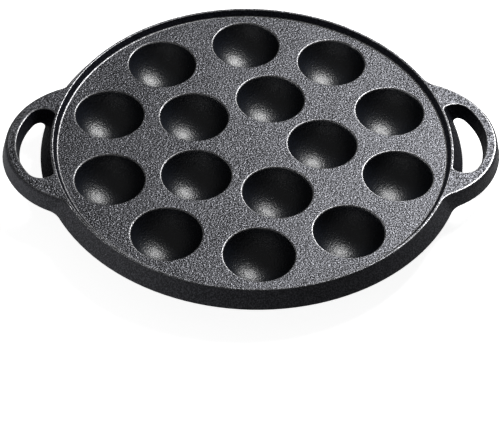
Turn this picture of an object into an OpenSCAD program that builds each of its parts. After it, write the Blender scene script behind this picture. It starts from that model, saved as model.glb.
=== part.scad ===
// Cast iron pan with half-round cavities, a raised rim and two loop handles.
// Sizes are in millimetres. Z is up and the handles lie along X. The pan stands at z = 0
// on the small flats under its cavities, and the middle of the plate is on the Z axis.

/* [Plate] */
// Diameter of the flat plate, measured to the foot of the rim
plate_d = 221; // [216:1:230]
// Thickness of the plate between the cavities
plate_t = 6; // [5:0.1:7]

/* [Rim] */
// Height of the rim above the plate
rim_h = 3.5; // [3:0.1:6]
// How far the inner wall of the rim leans outwards
rim_lean = 2.4; // [1.5:0.1:4]
// Width of the top of the rim
rim_w = 1.1; // [1:0.1:3]
// Rounding of both top edges of the rim
rim_round = 0.6; // [0.3:0.1:0.8]
// Hollow rounding at the foot of the rim
foot_round = 1; // [0.5:0.1:2]

/* [Outer wall] */
// How far the outer wall spreads from the top of the rim down to the underside
wall_spread = 6.6; // [4:0.1:8]
// Rounding of the lower edge of the wall and of the handles
lower_round = 0.5; // [0.4:0.1:1.2]

/* [Cavities] */
// Number of cavities in the outer ring
outer_count = 10; // [8:1:10]
// Number of cavities in the inner ring
inner_count = 5; // [3:1:5]
// Radius of the outer ring, to the middle of each cavity
outer_ring_r = 85; // [84:0.5:86]
// Radius of the inner ring, to the middle of each cavity
inner_ring_r = 40; // [39:0.5:41]
// Diameter of a cavity's mouth, before its lip is rounded
cavity_d = 39.4; // [36:0.2:40]
// Depth of a cavity below the plate
cavity_depth = 18.5; // [16:0.5:19.5]
// Rounding of a cavity's lip
lip_round = 0.8; // [0.4:0.1:1.2]
// Thickness of a cavity's side wall
cavity_wall = 3.5; // [3:0.1:3.8]
// Thickness under the lowest point of a cavity
base_wall = 3; // [2.4:0.1:3.2]
// Hollow rounding between a cavity's outside and the underside of the plate
dome_round = 1.2; // [0.8:0.1:1.3]

/* [Handles] */
// How far a handle reaches out from the top of the rim
handle_reach = 25.6; // [24.5:0.1:28]
// Radius of a handle's outline seen from above
handle_r = 48.6; // [47:0.1:56]
// How far a handle's outer wall spreads down to the underside
handle_spread = 2.2; // [0.6:0.1:3]
// Rounding of a handle's outer top edge
handle_round = 2; // [0.8:0.1:2.4]
// Hollow rounding where a handle leaves the outer wall
root_round = 14; // [4:0.5:16]

/* [Handle openings] */
// Width of the handle's bar on top, at the tip
bar_w = 6.1; // [5:0.1:7]
// Length of the opening on top
opening_l = 55.6; // [48:0.2:59]
// Radius of the ends of the opening on top
opening_end_r = 9; // [8:0.1:10]
// Rounding of the corners between those ends and the outer wall
opening_corner_r = 3; // [2:0.2:3.6]
// How far the bar's side of the opening leans in, down to the underside
opening_taper = 1.6; // [1:0.1:3]
// Rounding of the opening's top edge along the bar
opening_round = 1; // [0.4:0.1:1.4]

/* [Hidden] */
$fn = 96;

// Steps in a small rounding
round_steps = 4;
// Steps along a longer curve
curve_steps = 10;
// How far a cut runs past the surface that it opens
over = 1;
// How deep a hollow at a handle's root starts inside the walls that it joins
root_sink = 0.05;

// Heights
plate_z = cavity_depth + base_wall;
under_z = plate_z - plate_t;
rim_z = plate_z + rim_h;

// Radii of the rim and the outer wall
foot_r = plate_d / 2;
rim_in_r = foot_r + rim_lean;
rim_out_r = rim_in_r + rim_w;
wall_low_r = rim_out_r + wall_spread;

// A cavity is part of a sphere that gives both its mouth and its depth
bowl_r = (pow(cavity_d / 2, 2) + pow(cavity_depth, 2)) / (2 * cavity_depth);
bowl_centre = [0, plate_z - cavity_depth + bowl_r];
dome_r = bowl_r + cavity_wall;

// Each handle's outline and the far side of its opening share one centre
handle_centre = [rim_out_r + handle_reach - handle_r, 0];
opening_r = handle_r - bar_w;
end_y = opening_l / 2 - opening_end_r;
end_angle = asin(end_y / (opening_r - opening_end_r));
end_centre = handle_centre + (opening_r - opening_end_r) * [cos(end_angle), sin(end_angle)];

// Radius that clears the whole pan
clear_r = handle_centre[0] + handle_r + handle_spread + over;

// Unit vector from one point to another
function toward(from, to) = (to - from) / norm(to - from);

// Direction from one point to another, in degrees
function bearing(from, to) = atan2(to[1] - from[1], to[0] - from[0]);

// Point at distance r1 from p1 and r2 from p2, on the left of the way from p1 to p2
function meeting(p1, r1, p2, r2) =
    let (
        d = norm(p2 - p1),
        along = (d * d + r1 * r1 - r2 * r2) / (2 * d),
        aside = sqrt(r1 * r1 - along * along),
        u = toward(p1, p2)
    )
    p1 + along * u + aside * [-u[1], u[0]];

// Points of an arc round centre c, without its first point
function arc(c, r, from, to, steps) =
    [for (i = [1 : steps])
        let (t = from + (to - from) * i / steps)
        c + r * [cos(t), sin(t)]];

// Points that round the corner at p between its neighbours a and b
function rounded(a, p, b, r) =
    let (
        half = acos(toward(p, a) * toward(p, b)) / 2,
        c = p + toward([0, 0], toward(p, a) + toward(p, b)) * r / sin(half),
        start = p + toward(p, a) * r / tan(half),
        end = p + toward(p, b) * r / tan(half),
        turn = (bearing(c, end) - bearing(c, start) + 540) % 360 - 180
    )
    concat([start], arc(c, r, bearing(c, start), bearing(c, start) + turn, round_steps));

// Section of an outer wall, from the underside up to the top of the rim
function wall_section(low_r, top_r, top_round) = concat(
    rounded([0, under_z], [low_r, under_z], [top_r, rim_z], lower_round),
    rounded([low_r, under_z], [top_r, rim_z], [0, rim_z], top_round)
);
body_wall = wall_section(wall_low_r, rim_out_r, rim_round);
handle_wall = wall_section(handle_r + handle_spread, handle_r, handle_round);

// Section of the opening's far side, as a distance from its outline on top
bar_wall = concat(
    rounded([opening_r, under_z], [-opening_taper, under_z], [0, rim_z], lower_round),
    rounded([-opening_taper, under_z], [0, rim_z], [opening_r, rim_z], opening_round)
);

// How far out a section lies at height z
function section_at(section, z) = lookup(z, [for (p = section) [p[1], p[0]]]);

// Heights at which walls are followed, closer together in the roundings at both ends
function wall_heights(top_round) = concat(
    [for (i = [0 : round_steps]) under_z + lower_round * (1 - cos(90 * i / round_steps))],
    [for (i = [0 : round_steps]) rim_z - top_round * (1 - sin(90 * i / round_steps))]
);

// Outline of the opening at height z: far side, end, corner and outer wall, then mirrored
function opening_outline(z) =
    let (
        wall_r = section_at(body_wall, z),
        grow = section_at(bar_wall, z),
        end_r = opening_end_r + grow,
        corner = meeting([0, 0], wall_r + opening_corner_r, end_centre, end_r - opening_corner_r),
        corner_angle = bearing(end_centre, corner),
        wall_angle = bearing([0, 0], corner),
        side = concat(
            [handle_centre + [opening_r + grow, 0]],
            arc(handle_centre, opening_r + grow, 0, end_angle, curve_steps),
            arc(end_centre, end_r, end_angle, corner_angle, curve_steps),
            arc(corner, opening_corner_r, corner_angle, wall_angle + 180, round_steps),
            arc([0, 0], wall_r, wall_angle, 0, curve_steps)
        )
    )
    concat(side, [for (i = [len(side) - 2 : -1 : 1]) [side[i][0], -side[i][1]]]);

// Outline of the web at a handle's root at height z, hollow towards the outside
function root_outline(z) =
    let (
        wall_r = section_at(body_wall, z),
        bar_r = section_at(handle_wall, z),
        inner = meeting([0, 0], wall_r - root_round / 2, handle_centre, bar_r - root_round / 2),
        c = meeting([0, 0], wall_r + root_round, handle_centre, bar_r + root_round),
        from = bearing(c, handle_centre) + 360,
        to = bearing(c, [0, 0]) + 360,
        r = root_round + root_sink
    )
    concat([inner, c + r * [cos(from), sin(from)]], arc(c, r, from, to, curve_steps));

// Solid through a list of outlines, each at its own height
module loft(outlines, heights) {
    n = len(outlines[0]);
    top = n * (len(outlines) - 1);
    polyhedron(
        points = [for (k = [0 : len(heights) - 1], p = outlines[k]) [p[0], p[1], heights[k]]],
        faces = concat(
            [[for (i = [0 : n - 1]) i]],
            [[for (i = [n - 1 : -1 : 0]) top + i]],
            [for (k = [0 : n : top - n], i = [0 : n - 1]) [k + i, k + n + i, k + (i + 1) % n]],
            [for (k = [0 : n : top - n], i = [0 : n - 1]) [k + (i + 1) % n, k + n + i, k + n + (i + 1) % n]]
        )
    );
}

// Round solid with a given wall, closed at the underside and at the top of the rim
module disc(wall) {
    rotate_extrude()
        polygon(concat([[0, under_z]], wall, [[0, rim_z]]));
}

// Puts its children on both handles
module at_handles() {
    for (turn = [0, 180])
        rotate(turn)
            children();
}

// Puts its children on every cavity
module at_cavities() {
    for (i = [0 : outer_count - 1])
        rotate((i + 0.5) * 360 / outer_count)
            translate([outer_ring_r, 0, 0])
                children();
    for (i = [0 : inner_count - 1])
        rotate(i * 360 / inner_count)
            translate([inner_ring_r, 0, 0])
                children();
}

// The plate, the rim and the outer wall before anything is cut out
module body() {
    color("dimgray")
        disc(body_wall);
}

// One handle without its opening, with the hollows at its two roots
module handle() {
    heights = wall_heights(handle_round);
    color("dimgray") {
        translate(handle_centre)
            disc(handle_wall);
        for (side = [0, 1])
            mirror([0, side, 0])
                loft(
                    [for (z = heights) root_outline(z), root_outline(rim_z)],
                    concat(heights, [rim_z + over])
                );
    }
}

// Outside of one cavity: a dome with a small flat to stand on and a hollow under the plate
module dome() {
    hollow_z = under_z - dome_round;
    hollow = [sqrt(pow(dome_r + dome_round, 2) - pow(bowl_centre[1] - hollow_z, 2)), hollow_z];
    lean = bearing(bowl_centre, hollow);
    flat_angle = acos(bowl_centre[1] / dome_r);
    color("dimgray")
        rotate_extrude()
            polygon(concat(
                [[0, 0], [dome_r * sin(flat_angle), 0]],
                arc(bowl_centre, dome_r, flat_angle - 90, lean, curve_steps),
                arc(hollow, dome_round, lean + 180, 90, round_steps),
                [[hollow[0], plate_z - over], [0, plate_z - over]]
            ));
}

// The shallow well inside the rim, down to the plate, and all that stands above the rim
module well() {
    foot = rounded([0, plate_z], [foot_r, plate_z], [rim_in_r, rim_z], foot_round);
    edge = rounded([foot_r, plate_z], [rim_in_r, rim_z], [rim_out_r, rim_z], rim_round);
    rotate_extrude()
        polygon(concat(
            [[0, plate_z]], foot, edge,
            [[clear_r, rim_z], [clear_r, rim_z + 2 * over], [0, rim_z + 2 * over]]
        ));
}

// Inside of one cavity, with its rounded lip
module cavity() {
    lip_z = plate_z - lip_round;
    lip = [sqrt(pow(bowl_r + lip_round, 2) - pow(bowl_centre[1] - lip_z, 2)), lip_z];
    lean = bearing(bowl_centre, lip);
    translate([0, 0, bowl_centre[1]])
        sphere(bowl_r);
    rotate_extrude()
        polygon(concat(
            [[0, lip_z], bowl_centre + bowl_r * [cos(lean), sin(lean)]],
            arc(lip, lip_round, lean + 180, 90, round_steps),
            [[lip[0], plate_z + over], [0, plate_z + over]]
        ));
}

// The hole for the fingers between a handle's bar and the outer wall
module opening() {
    heights = wall_heights(opening_round);
    first = heights[0];
    last = heights[len(heights) - 1];
    loft(
        [opening_outline(first), for (z = heights) opening_outline(z), opening_outline(last)],
        concat([first - over], heights, [last + over])
    );
}

// The whole casting
module pan() {
    difference() {
        union() {
            body();
            at_handles()
                handle();
            at_cavities()
                dome();
        }
        well();
        at_cavities()
            cavity();
        at_handles()
            opening();
    }
}

pan();
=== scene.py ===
import math

import bpy
from mathutils import Matrix, Vector

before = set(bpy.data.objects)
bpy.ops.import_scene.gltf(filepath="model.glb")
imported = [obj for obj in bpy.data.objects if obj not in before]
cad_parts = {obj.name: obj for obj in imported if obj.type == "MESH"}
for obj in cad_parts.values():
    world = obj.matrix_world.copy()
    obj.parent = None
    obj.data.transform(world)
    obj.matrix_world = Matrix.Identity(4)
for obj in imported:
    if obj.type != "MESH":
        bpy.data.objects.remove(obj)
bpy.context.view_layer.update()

# Heights of the plate, the outer wall's lower edge and the rim, in metres

PLATE_Z = 0.0215
UNDER_Z = 0.0155
RIM_Z = 0.0250

# Outer radius of the rim, and how far the outer wall runs outwards for each metre that it drops

RIM_OUT_R = 0.1140
WALL_LEAN = 0.695

# Radii of a cavity with its rounded lip, and of the two rings on which the cavities' middles lie

CAVITY_R = 0.0206
OUTER_RING_R = 0.085
INNER_RING_R = 0.040

# Outer side of a handle's opening: the middle of its arc, on the X axis, and its radius

HANDLE_CENTRE_X = 0.0910
OPENING_R = 0.0425

# How far past its own size each of these still counts: opening, outer wall and underside

OPENING_MARGIN = 0.0008
WALL_MARGIN = 0.0006
UNDER_MARGIN = 0.0003

# How far down the painted highlight lines reach on the lips, the rim and the handles, and how far up at the
# rim's foot

LIP_DEPTH = 0.0007
RIM_DEPTH = 0.0004
HANDLE_DEPTH = 0.0019
FOOT_HEIGHT = 0.0006

# Upward part of a face's normal past which it counts as level, as a handle's edge with a painted highlight
# line, or as pointing down

LEVEL = 0.995
OPENING_EDGE = 0.6
HANDLE_EDGE = 0.9
DOWNWARD = -0.5

# Cast grain: the coarse pebbles' share of its height, and how many times smaller the fine pebbles are

COARSE_SHARE = 0.7
FINE_PEBBLES = 2.3

# Mottled tone: the wide stains, the levels of their noise between which they turn light, and their share

STAINS_PER_METRE = 30.0
STAIN_LEVELS = (0.35, 0.65)
STAIN_SHARE = 0.12

# Its small specks: how many times smaller they are than a pebble, and the levels of their noise

FINE_SPECKS = 1.3
SPECK_LEVELS = (0.44, 0.62)

# How much further the light mottles leave the tone than the dark ones, and how much the roughness varies

LIGHT_SIDE = 2.0
ROUGHNESS_SPREAD = 0.12

# The photograph's width and the camera's focal length in pixels, and the sensor's width in millimetres

PHOTO_WIDTH = 499
FOCAL_PIXELS = 2164.14
SENSOR = 36.0

# The camera that was solved from the photograph: its angles in degrees, then metres from the plate's middle

CAMERA_TURN = -4.16
CAMERA_ELEVATION = 46.12
CAMERA_ROLL = 2.234
CAMERA_DISTANCE = 1.22986
CAMERA_SIDEWAYS = 0.000011
CAMERA_UP = -0.040911

# Room's light, floor's glow, and the upward parts of a ray between which the white background fades

ROOM = 0.1
FLOOR_GLOW = 0.88
HORIZON = (0.05, 0.25)

# Width and grey of the floor

FLOOR_SIZE = 12.0
FLOOR_TONE = 0.8

# Full white, with its alpha

WHITE = (1, 1, 1, 1)


def ring(radius, count, turn):
    """Middles of the cavities in one ring. The first one is turned from the X axis by so many degrees."""
    angles = [math.radians(turn + 360 / count * i) for i in range(count)]
    return [Vector((radius * math.cos(angle), radius * math.sin(angle))) for angle in angles]


CAVITY_MIDDLES = ring(OUTER_RING_R, count=10, turn=18) + ring(INNER_RING_R, count=5, turn=0)


def add_camera():
    """Puts the camera where the photograph was taken from."""
    elevation, roll = math.radians(CAMERA_ELEVATION), math.radians(CAMERA_ROLL)
    back = Vector((0, -math.cos(elevation), math.sin(elevation)))
    side = Vector((0, 0, 1)).cross(back).normalized()
    up = back.cross(side)
    x_axis = math.cos(roll) * side + math.sin(roll) * up
    y_axis = -math.sin(roll) * side + math.cos(roll) * up
    plate_middle = Vector((0, 0, PLATE_Z))
    pose = Matrix((x_axis, y_axis, back)).transposed().to_4x4()
    pose.translation = back * CAMERA_DISTANCE + side * CAMERA_SIDEWAYS + up * CAMERA_UP + plate_middle
    data = bpy.data.cameras.new("photo_camera")
    data.sensor_width = SENSOR
    data.lens = FOCAL_PIXELS / PHOTO_WIDTH * SENSOR
    camera = bpy.data.objects.new("photo_camera", data)
    bpy.context.scene.collection.objects.link(camera)
    camera.matrix_world = Matrix.Rotation(math.radians(CAMERA_TURN), 4, "Z") @ pose
    bpy.context.scene.camera = camera


def add_softbox(name, direction, distance, size, power):
    """Hangs one rectangular softbox that looks at the origin, under the middle of the pan."""
    data = bpy.data.lights.new(name, "AREA")
    data.shape = "RECTANGLE"
    data.size, data.size_y = size
    data.energy = power
    lamp = bpy.data.objects.new(name, data)
    bpy.context.scene.collection.objects.link(lamp)
    towards = Vector(direction).normalized()
    lamp.location = towards * distance
    lamp.rotation_mode = "QUATERNION"
    lamp.rotation_quaternion = towards.to_track_quat("Z", "Y")


class Nodes:
    """A short way to add and link nodes in one tree."""

    def __init__(self, tree):
        self.tree = tree
        tree.nodes.clear()

    def add(self, kind, inputs=(), **settings):
        """Adds a node. Each input is either another node's output, which is linked, or a value."""
        node = self.tree.nodes.new(kind)
        for key, value in settings.items():
            setattr(node, key, value)
        for key, value in dict(inputs).items():
            if isinstance(value, bpy.types.NodeSocket):
                self.tree.links.new(value, node.inputs[key])
            else:
                node.inputs[key].default_value = value
        return node

    def math(self, operation, a, b):
        """One operation on two values."""
        return self.add("ShaderNodeMath", {0: a, 1: b}, operation=operation).outputs[0]

    def share(self, a, b, part):
        """A mix with that part of a and the rest of b."""
        return self.math("ADD", self.math("MULTIPLY", a, part), self.math("MULTIPLY", b, 1 - part))

    def ramp(self, value, low, high, to_low=0.0, to_high=1.0):
        """Runs from to_low to to_high while the value goes from low to high, and no further."""
        inputs = {"Value": value, "From Min": low, "From Max": high, "To Min": to_low, "To Max": to_high}
        return self.add("ShaderNodeMapRange", inputs, clamp=True).outputs["Result"]

    def noise(self, where, scale, detail=1.0, roughness=0.5):
        """Cloudy noise with so many clouds to the metre."""
        inputs = {"Vector": where, "Scale": scale, "Detail": detail, "Roughness": roughness}
        return self.add("ShaderNodeTexNoise", inputs).outputs["Fac"]


def iron(name, tone, metal, roughness, specular, grain, pebble, contrast=0.4):
    """One finish of the seasoned iron: its tone and shine, the height of its cast grain, the size of a pebble
    in it, and how strongly its tone is mottled."""
    material = bpy.data.materials.new(name)
    material.use_nodes = True
    n = Nodes(material.node_tree)
    where = n.add("ShaderNodeTexCoord").outputs["Object"]
    coarse = n.noise(where, 1.0 / pebble)
    fine = n.noise(where, FINE_PEBBLES / pebble)
    height = n.share(coarse, fine, COARSE_SHARE)
    bump = n.add("ShaderNodeBump", {"Strength": 1.0, "Distance": grain, "Height": height}).outputs["Normal"]
    stain = n.noise(where, STAINS_PER_METRE, detail=4.0, roughness=0.6)
    speck = n.noise(where, FINE_SPECKS / pebble)
    mottle = n.share(n.ramp(stain, *STAIN_LEVELS), n.ramp(speck, *SPECK_LEVELS), STAIN_SHARE)
    dark = tuple(c * (1 - contrast) for c in tone)
    light = tuple(c * (1 + LIGHT_SIDE * contrast) for c in tone)
    colours = {"Factor": mottle, "A": (*dark, 1), "B": (*light, 1)}
    colour = n.add("ShaderNodeMix", colours, data_type="RGBA").outputs["Result"]
    dull = n.math("ADD", n.math("MULTIPLY", stain, ROUGHNESS_SPREAD), roughness - ROUGHNESS_SPREAD / 2)
    shader = n.add("ShaderNodeBsdfPrincipled", {
        "Base Color": colour, "Roughness": dull, "Metallic": metal, "Specular IOR Level": specular,
        "Normal": bump})
    n.add("ShaderNodeOutputMaterial", {"Surface": shader.outputs[0]})
    return material


def make_finishes():
    """The pan's six finishes, each under the name that place_of gives to its place."""
    return {
        "top": iron("sand_cast_top", tone=(0.076, 0.077, 0.0838), metal=1.0, roughness=0.42, specular=0.5,
                    grain=0.0006, pebble=0.0010, contrast=0.80),
        "wall": iron("smooth_wall", tone=(0.025, 0.0255, 0.029), metal=0.0, roughness=0.60, specular=0.05,
                     grain=0.0004, pebble=0.0010),
        "cavity": iron("cavity_glaze", tone=(0.003, 0.0045, 0.0085), metal=0.0, roughness=0.37, specular=1.0,
                       grain=0.0003, pebble=0.0011),
        "shaded": iron("shaded_wall", tone=(0.008, 0.0085, 0.0115), metal=0.0, roughness=0.60, specular=0.012,
                       grain=0.0004, pebble=0.0010),
        # Lighter metal on the rounded edges: painted highlight lines along the cavities' lips, the rim's
        # crown and foot and the handles' upper edges
        "edge": iron("painted_highlight_edge", tone=(0.18, 0.18, 0.185), metal=1.0, roughness=0.36, specular=0.5,
                     grain=0.0001, pebble=0.0010),
        "under": iron("rough_underside", tone=(0.018, 0.018, 0.020), metal=0.0, roughness=0.60, specular=0.4,
                      grain=0.0004, pebble=0.0018),
    }


def has_painted_highlight(c, up, inside_rim, in_opening):
    """Whether a face with its middle at c is on the rim's crown, the rim's foot or a handle's upper edge,
    where a highlight line is painted.
    """
    on_wall = abs(c.xy.length - RIM_OUT_R - (RIM_Z - c.z) * WALL_LEAN) < WALL_MARGIN
    if inside_rim or on_wall:
        on_foot = inside_rim and 0 < c.z - PLATE_Z < FOOT_HEIGHT
        return on_foot or c.z > RIM_Z - RIM_DEPTH
    return c.z > RIM_Z - HANDLE_DEPTH and up > (OPENING_EDGE if in_opening else HANDLE_EDGE)


def place_of(face):
    """Names the place on the casting that a face belongs to, from where it lies and which way it points."""
    c, up = face.center, face.normal.z
    inside_rim = c.xy.length < RIM_OUT_R
    in_opening = not inside_rim and math.hypot(abs(c.x) - HANDLE_CENTRE_X, c.y) < OPENING_R + OPENING_MARGIN
    in_cavity = up > 0 and any((c.xy - middle).length < CAVITY_R for middle in CAVITY_MIDDLES)
    if in_cavity:
        # A cavity's lip gets the lighter metal of the painted highlight lines too
        return "edge" if c.z > PLATE_Z - LIP_DEPTH else "cavity"
    if up > LEVEL:
        return "top"
    if has_painted_highlight(c, up, inside_rim, in_opening):
        return "edge"
    if up < DOWNWARD or c.z < UNDER_Z + UNDER_MARGIN:
        return "under"
    return "shaded" if inside_rim or in_opening else "wall"


def dress_pan(pan):
    """Gives each face of the casting the finish of the place where it lies."""
    finishes = make_finishes()
    places = list(finishes)
    pan.data.materials.clear()
    for finish in finishes.values():
        pan.data.materials.append(finish)
    for face in pan.data.polygons:
        face.material_index = places.index(place_of(face))


def ray_kinds(n):
    """Two masks: rays from the eye, and rays off a shiny surface or through a clear one."""
    path = n.add("ShaderNodeLightPath").outputs
    return path["Is Camera Ray"], n.math("MAXIMUM", path["Is Glossy Ray"], path["Is Transmission Ray"])


def add_floor():
    """A plain white floor that keeps a soft shadow."""
    bpy.ops.mesh.primitive_plane_add(size=FLOOR_SIZE, location=(0, 0, 0))
    floor = bpy.context.object
    floor.name = "floor"
    material = bpy.data.materials.new("pale_floor")
    material.use_nodes = True
    n = Nodes(material.node_tree)
    sheet = n.add("ShaderNodeBsdfDiffuse", {"Color": (FLOOR_TONE, FLOOR_TONE, FLOOR_TONE, 1)}).outputs[0]
    glow = n.add("ShaderNodeEmission", {"Color": WHITE, "Strength": FLOOR_GLOW}).outputs[0]
    lit = n.add("ShaderNodeAddShader", {0: sheet, 1: glow}).outputs[0]
    mix = n.add("ShaderNodeMixShader", {0: n.math("MAXIMUM", *ray_kinds(n)), 1: sheet, 2: lit}).outputs[0]
    n.add("ShaderNodeOutputMaterial", {"Surface": mix})
    floor.data.materials.append(material)


def add_world():
    """A dim even room, white for the eye and, down by the horizon, in shiny surfaces too."""
    world = bpy.data.worlds.new("studio")
    bpy.context.scene.world = world
    world.use_nodes = True
    n = Nodes(world.node_tree)
    way = n.add("ShaderNodeTexCoord").outputs["Generated"]
    height = n.add("ShaderNodeSeparateXYZ", {"Vector": way}).outputs["Z"]
    low = n.ramp(height, *HORIZON, 1.0, 0.0)
    room = n.add("ShaderNodeBackground", {"Color": WHITE, "Strength": ROOM}).outputs[0]
    white = n.add("ShaderNodeBackground", {"Color": WHITE, "Strength": 1.0}).outputs[0]
    eye, shiny = ray_kinds(n)
    bright = n.math("MAXIMUM", eye, n.math("MULTIPLY", shiny, low))
    mix = n.add("ShaderNodeMixShader", {0: bright, 1: room, 2: white}).outputs[0]
    n.add("ShaderNodeOutputWorld", {"Surface": mix})


bpy.context.scene.view_settings.view_transform = "Standard"
bpy.ops.object.select_all(action="DESELECT")
add_camera()
add_world()
add_floor()
add_softbox("key", direction=(0.45, 0.53, 0.72), distance=0.75, size=(0.36, 0.36), power=7.0)
add_softbox("low_fill", direction=(-0.95, -0.30, 0.04), distance=1.1, size=(0.8, 0.07), power=9.5)
dress_pan(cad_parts["pan"])
